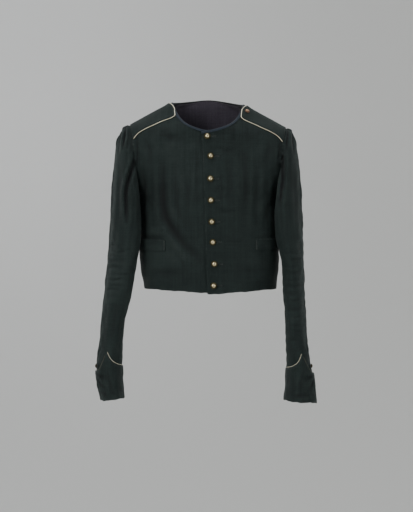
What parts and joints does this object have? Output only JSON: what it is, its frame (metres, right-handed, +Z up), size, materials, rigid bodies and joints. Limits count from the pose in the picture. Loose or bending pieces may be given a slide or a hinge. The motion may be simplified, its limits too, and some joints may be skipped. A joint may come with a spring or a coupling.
{
  "type": "long-sleeved uniform jacket",
  "caption": "Waist-length collarless uniform jacket with long sleeves, pointed cuffs, piped shoulder straps, welt pockets and a row of domed buttons.",
  "frame": {"origin": "between the shoulders, level with the shoulder line beside the neck, where the wearer's shoulders hold the jacket", "axes": "+Z up towards the neck, -Y out of the buttoned front, +X to the wearer's left"},
  "size_m": [0.5248, 0.2397, 0.7275],
  "materials": {
    "wool": "fulled dark green broadcloth",
    "binding": "dark blue-green twill tape",
    "lining": "dark aubergine linen",
    "piping": "pale yellow cloth piping",
    "brass": "gilt brass, slightly worn"
  },
  "bodies": {
    "root": {"front_left": "wool", "front_right": "wool", "back": "wool", "top_sleeve_left": "wool", "under_sleeve_left": "wool", "top_sleeve_right": "wool", "under_sleeve_right": "wool", "shoulder_strap_left": "wool", "shoulder_strap_right": "wool", "pocket_welt_left": "wool", "pocket_welt_right": "wool", "cuff_left": "wool", "cuff_right": "wool", "neck_binding": "binding", "back_lining": "lining", "strap_piping_left": "piping", "strap_piping_right": "piping", "cuff_piping_left": "piping", "cuff_piping_right": "piping", "outer_cuff_piping_left": "piping", "outer_cuff_piping_right": "piping", "front_button_1": "brass", "front_button_2": "brass", "front_button_3": "brass", "front_button_4": "brass", "front_button_5": "brass", "front_button_6": "brass", "front_button_7": "brass", "front_button_8": "brass", "strap_button": "brass", "cuff_button_left": "brass", "cuff_button_right": "brass"}
  },
  "joints": []
}
